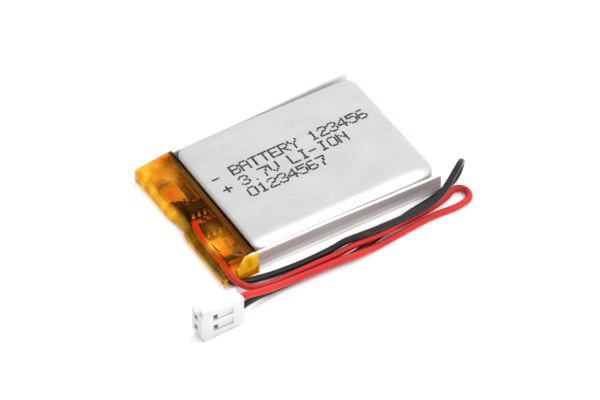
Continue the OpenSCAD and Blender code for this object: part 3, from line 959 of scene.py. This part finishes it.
def seal_material_with_painted_light():
    """The folded side seals, with painted light: the front one has a painted reflection of the white floor
    at its fold, grey above it, pinkish painted shade and red-lead reflection towards its edge and white at
    the edge; the back one is painted pale as though lit.
    """
    n = Nodes("laminate_seal_painted_light")
    rolled = n.noise(*ROLLED)
    height = n.calc("DIVIDE", n.axis("Z"), SEAL_H * MM)
    # Painted light by height on the front seal: floor reflection, grey, pinkish shade and reflection, white
    # edge
    painted_light_bands = n.ramp(height, (0.22, (0.9, 0.9, 0.89)), (0.3, (0.53, 0.52, 0.51)),
                   (0.48, (0.5, 0.49, 0.48)), (0.56, (0.40, 0.345, 0.35)), (0.94, (0.42, 0.365, 0.37)),
                   (0.97, (0.9, 0.9, 0.9)))
    # The back seal painted pale, as though lit
    pale = n.ramp(rolled, (0.3, (0.58, 0.58, 0.54)), (0.7, (0.66, 0.66, 0.61)))
    colour = n.mix(n.calc("LESS_THAN", n.axis("Y"), 0), pale, painted_light_bands)
    return n.done(n.principled(colour, n.span(rolled, *SATIN),
                               n.bump(rolled, ROLLED_DEPTH, ROLLED_STRENGTH), Metallic=0.2))


def insulation_material(name, dark, light, rough):
    """Extruded PVC insulation: soft gloss, faint ripples along the lead."""
    n = Nodes(name)
    broad = n.noise(5, 2.0)
    fine = n.noise(0.5, 3.0)
    colour = n.ramp(broad, (0.3, dark), (0.7, light))
    return n.done(n.principled(colour, n.span(fine, *rough), n.bump(fine, 0.012, 0.6),
                               Specular_IOR_Level=0.35))


# Colour of the painted shade on the tape
TAPE_SHADE_BROWN = (0.028, 0.022, 0.006)
TAPE_CREASE = (0.03, 0.4)  # depth in mm and strength of the fine bumps


def tape_material(name, haze, gloss):
    """Amber polyimide tape: a clear film with some haze, turned opaque brown by its painted shade and bright
    gold by its painted glow, both stored on the mesh.
    """
    n = Nodes(name)
    broad = n.noise(3.2, 3.0)
    bubbles = n.noise(0.7, 3.0)
    # Painted shade with two darker patches
    dark = n.attribute("tape_shade_and_patches")
    # Painted glow
    gold = n.attribute("tape_painted_glow")
    clear = n.node("BsdfTransparent")
    n.link(n.ramp(broad, (0.35, (0.985, 0.64, 0.10)), (0.65, (0.995, 0.74, 0.2))), clear.inputs["Color"])
    # The tape's own amber, turning to painted shade brown where the shade attribute is high
    plain = n.ramp(dark, (0.0, (0.86, 0.34, 0.008)), (0.35, (0.34, 0.13, 0.02)), (1.0, TAPE_SHADE_BROWN))
    # Bright gold of the painted glow
    painted_glow_colour = n.ramp(bubbles, (0.35, (0.88, 0.41, 0.006)), (0.6, (1.0, 0.62, 0.02)))
    body = n.principled(n.mix(gold, plain, painted_glow_colour), n.span(bubbles, 0.12, 0.25),
                        n.bump(bubbles, *TAPE_CREASE), Specular_IOR_Level=0.2)
    # The tape turns opaque where its painted shade is
    fog = n.calc("MULTIPLY_ADD", dark, 0.75, n.span(broad, *haze), clamp=True)
    mix = n.node("MixShader")
    # The tape turns opaque and bright gold where its painted glow is
    n.link(n.calc("MULTIPLY_ADD", gold, 0.92, fog, clamp=True), mix.inputs["Fac"])
    n.link(clear.outputs[0], mix.inputs[1])
    n.link(body.outputs[0], mix.inputs[2])
    shine = n.node("BsdfGlossy")
    n.link(n.ramp(bubbles, (0.3, (0.62, 0.42, 0.2)), (0.7, (0.75, 0.55, 0.3))), shine.inputs["Color"])
    n.link(n.span(bubbles, 0.06, 0.16), shine.inputs["Roughness"])
    n.link(n.bump(bubbles, *TAPE_CREASE), shine.inputs["Normal"])
    fresnel = n.node("Fresnel")
    fresnel.inputs["IOR"].default_value = gloss
    coat = n.node("MixShader")
    n.link(fresnel.outputs["Fac"], coat.inputs["Fac"])
    n.link(mix.outputs[0], coat.inputs[1])
    n.link(shine.outputs[0], coat.inputs[2])
    return n.done(coat)


PACKAGE_HALF_W = 0.82


def package_material(name, node):
    """Black epoxy body with bright gold-toned legs, told apart by how far they are from its middle."""
    n = Nodes(name)
    low, high = node_box(node)
    grain = n.noise(0.12, 3.0)
    away = n.calc("ABSOLUTE", n.calc("SUBTRACT", n.axis("Y"), (low.y + high.y) / 2 * MM))
    leg = n.calc("GREATER_THAN", away, PACKAGE_HALF_W * MM)
    epoxy = n.ramp(grain, (0.3, (0.008, 0.008, 0.008)), (0.7, (0.02, 0.02, 0.02)))
    metal = n.ramp(grain, (0.3, (0.85, 0.8, 0.7)), (0.7, (0.95, 0.92, 0.85)))
    shader = n.principled(n.mix(leg, epoxy, metal), n.span(grain, 0.3, 0.5), n.bump(grain, 0.01),
                          Specular_IOR_Level=0.1)
    n.link(leg, shader.inputs["Metallic"])
    return n.done(shader)


PAD_PITCH = 1.1


def board_material():
    """Dark green solder mask with a scatter of small round copper pads."""
    n = Nodes("circuit_board")
    broad = n.noise(2, 2.0)
    scatter = n.node("TexVoronoi")
    scatter.inputs["Scale"].default_value = 1 / (PAD_PITCH * MM)
    n.link(n.place, scatter.inputs["Vector"])
    mask = n.ramp(broad, (0.3, (0.008, 0.022, 0.012)), (0.7, (0.014, 0.04, 0.02)))
    pads = n.ramp(scatter.outputs["Distance"], (0.16, (0.75, 0.5, 0.2)), (0.2, (0, 0, 0)))
    return n.done(n.principled(n.mix(0.6, mask, pads, "ADD"), n.span(broad, 0.25, 0.4),
                               n.bump(broad, 0.02), Specular_IOR_Level=0.1))


MATERIALS = {
    "protection_ic": package_material("protection_ic_package", "protection_ic"),
    "mosfet": package_material("mosfet_package", "switching_mosfet"),
    "copper": plain_surface(
        "copper_rings", (0.75, 0.42, 0.2), (0.85, 0.52, 0.28), (0.2, 0.35), 0.1, 0.005, Metallic=1.0),
    "laminate": laminate_material("laminate_film", (0.42, 0.43, 0.425), (0.47, 0.48, 0.475), 0.6),
    "seal": seal_material_with_painted_light(),
    "tape": tape_material("amber_tape", (0.0, 0.015), 1.07),
    "tape_strip": tape_material("amber_tape_strip", (0.3, 0.5), 1.5),
    "tape_over": tape_material("amber_tape_over", (0.0, 0.01), 1.12),
    "red": insulation_material("red_insulation", (0.40, 0.007, 0.006), (0.48, 0.014, 0.011), (0.26, 0.36)),
    "black": insulation_material(
        "black_insulation", (0.003, 0.003, 0.004), (0.008, 0.008, 0.009), (0.2, 0.32)),
    "nylon": plain_surface(
        "white_nylon", (0.55, 0.55, 0.54), (0.6, 0.6, 0.59), (0.4, 0.55), 0.4, 0.012,
        Subsurface_Weight=0.25, Subsurface_Scale=0.0006),
    "board": board_material(),
    "chip": plain_surface("chip_epoxy", (0.012, 0.012, 0.012), (0.03, 0.03, 0.03), (0.4, 0.6), 0.1, 0.01),
    "ceramic": plain_surface(
        "capacitor_ceramic", (0.34, 0.2, 0.1), (0.5, 0.32, 0.18), (0.4, 0.55), 0.15, 0.01),
    "nickel": plain_surface(
        "nickel_strip", (0.6, 0.58, 0.53), (0.72, 0.7, 0.65), (0.22, 0.36), 0.2, 0.01,
        (0.15, 1, 1), Metallic=1.0),
    "aluminium": plain_surface(
        "aluminium_tab", (0.72, 0.72, 0.73), (0.82, 0.82, 0.83), (0.24, 0.36), 0.2, 0.01,
        (0.15, 1, 1), Metallic=1.0),
    "solder": plain_surface(
        "solder", (0.62, 0.62, 0.62), (0.78, 0.78, 0.77), (0.12, 0.3), 0.3, 0.02, Metallic=1.0),
    "contact": plain_surface(
        "tinned_contact", (0.66, 0.6, 0.46), (0.78, 0.74, 0.6), (0.2, 0.35), 0.2, 0.01, Metallic=1.0),
    "foam": plain_surface("foam_pad", (0.5, 0.4, 0.26), (0.64, 0.54, 0.38), (0.8, 0.95), 0.12, 0.05),
    "sealant": plain_surface("tab_sealant", (0.7, 0.65, 0.5), (0.8, 0.76, 0.62), (0.4, 0.55), 0.4, 0.02),
    "separator": plain_surface(
        "separator_film", (0.8, 0.8, 0.8), (0.88, 0.88, 0.88), (0.5, 0.65), 0.3, 0.004),
    "anode": plain_surface(
        "coated_copper_foil", (0.07, 0.055, 0.05), (0.12, 0.09, 0.08), (0.7, 0.85), 0.1, 0.01),
    "cathode": plain_surface(
        "coated_aluminium_foil", (0.03, 0.03, 0.034), (0.06, 0.06, 0.066), (0.65, 0.8), 0.1, 0.01),
    "green_tape": plain_surface(
        "winding_tape", (0.03, 0.25, 0.1), (0.05, 0.36, 0.15), (0.2, 0.35), 0.5, 0.01),
    "ink": plain_surface("printed_ink", (0.006, 0.006, 0.007), (0.02, 0.02, 0.021), (0.6, 0.8), 0.15, 0.01),
}
NODE_MATERIALS = {
    "anode_foil": "anode", "cathode_foil": "cathode", "inner_separator": "separator",
    "outer_separator": "separator", "winding_tape": "green_tape", "negative_tab": "nickel",
    "positive_tab": "aluminium", "negative_tab_sealant": "sealant", "positive_tab_sealant": "sealant",
    "foam_pad": "foam", "protection_board": "board", "negative_weld_plate": "nickel",
    "positive_weld_plate": "nickel", "protection_ic": "protection_ic", "switching_mosfet": "mosfet",
    "sense_resistors": "chip", "filter_capacitor": "ceramic", "red_solder_joint": "solder",
    "black_solder_joint": "solder", "red_terminal": "contact", "black_terminal": "contact",
    "pouch_cup": "laminate", "pouch_back": "laminate", "tape_wrap": "tape", "front_side_tape": "tape",
    "back_side_tape": "tape", "red_lead": "red", "black_lead": "black", "plug_housing": "nylon",
}


def paint(piece, key):
    """Gives every part of a piece one material."""
    piece.data.materials.clear()
    piece.data.materials.append(MATERIALS[key])


paint(red_lead, "red")
paint(black_lead, "black")
cup_skin = make_pouch_cup()
paint(cup_skin, "laminate")
paint(make_pouch_back(), "seal")
tape = make_tape("amber_tape", x_reach=1.0, y_low=TAPE_FRONT_Y, y_high=TAPE_BACK_Y, lift=0.0, skirt=True)
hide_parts("tape_wrap")
paint(tape, "tape")
second_turn = make_tape("amber_tape_second_turn", x_reach=0.8, y_low=TAPE_FRONT_Y + 0.3,
                        y_high=TAPE_BACK_Y - 0.35, lift=0.05, skirt=False)
paint(second_turn, "tape_over")
paint(make_side_tape("front_tape_strip", "front_side_tape", side=-1), "tape_strip")
paint(make_side_tape("back_tape_strip", "back_side_tape", side=1), "tape_strip")
paint(make_copper(), "copper")
plug = make_plug()
paint(plug, "nylon")
paint(make_print(cup_skin), "ink")

for node_name, material_key in NODE_MATERIALS.items():
    node_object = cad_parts[node_name]
    for place in node_object.material_slots:
        place.material = MATERIALS[material_key]


# ---- Studio ----

FLOOR_REACH = 2.0 / MM
FLOOR_Z = -0.02
BRIGHT_SIDE = (0.72, 0.1, 0.69)
DIM, BRIGHT = 0.55, 1.45
# Each lamp's name, place and size in metres, power in watts, and whether it shows in glossy surfaces
LAMPS = [
    ("key", (0.35, -0.22, 0.45), (0.22, 0.22), 1.6, False),
    ("glint", (0.0, -0.42, 0.37), (0.1, 0.05), 0.28, True),
    ("sheen", (0.12, 0.06, 0.14), (0.1, 0.1), 0.16, False),
]


def add_floor():
    """A wide, plain, pale floor just under the pack."""
    n = Nodes("floor")
    broad = n.noise(60, 2.0)
    colour = n.ramp(broad, (0.3, (0.9, 0.9, 0.9)), (0.7, (0.92, 0.92, 0.92)))
    material = n.done(n.principled(colour, n.span(broad, 0.6, 0.7)))
    corners = [(x * FLOOR_REACH, y * FLOOR_REACH, FLOOR_Z) for x, y in ((-1, -1), (1, -1), (1, 1), (-1, 1))]
    floor = mesh_object("floor", corners, [(0, 1, 2, 3)], smooth=False)
    floor.data.materials.append(material)


def add_lamp(name, place, size, power, glossy):
    """A soft rectangular lamp at a place, turned towards the pack."""
    data = bpy.data.lights.new(name, "AREA")
    data.shape = "RECTANGLE"
    data.size, data.size_y = size
    data.energy = power
    light = bpy.data.objects.new(name, data)
    light.location = place
    light.visible_glossy = glossy
    light.rotation_euler = Vector(place).to_track_quat("Z", "Y").to_euler()
    bpy.context.scene.collection.objects.link(light)


def add_studio():
    """A white tent that is brighter on the right and above, with three soft lamps."""
    scene = bpy.context.scene
    scene.view_settings.view_transform = "Standard"
    world = bpy.data.worlds.new("studio")
    world.use_nodes = True
    tree = world.node_tree
    coords = tree.nodes.new("ShaderNodeTexCoord")
    facing = tree.nodes.new("ShaderNodeVectorMath")
    facing.operation = "DOT_PRODUCT"
    facing.inputs[1].default_value = BRIGHT_SIDE
    tree.links.new(coords.outputs["Generated"], facing.inputs[0])
    strength = tree.nodes.new("ShaderNodeMapRange")
    strength.inputs["From Min"].default_value = -1
    strength.inputs["To Min"].default_value = DIM
    strength.inputs["To Max"].default_value = BRIGHT
    tree.links.new(facing.outputs["Value"], strength.inputs["Value"])
    tree.links.new(strength.outputs["Result"], tree.nodes["Background"].inputs["Strength"])
    tree.nodes["Background"].inputs["Color"].default_value = (1, 1, 1, 1)
    scene.world = world
    for lamp in LAMPS:
        add_lamp(*lamp)


add_floor()
add_studio()
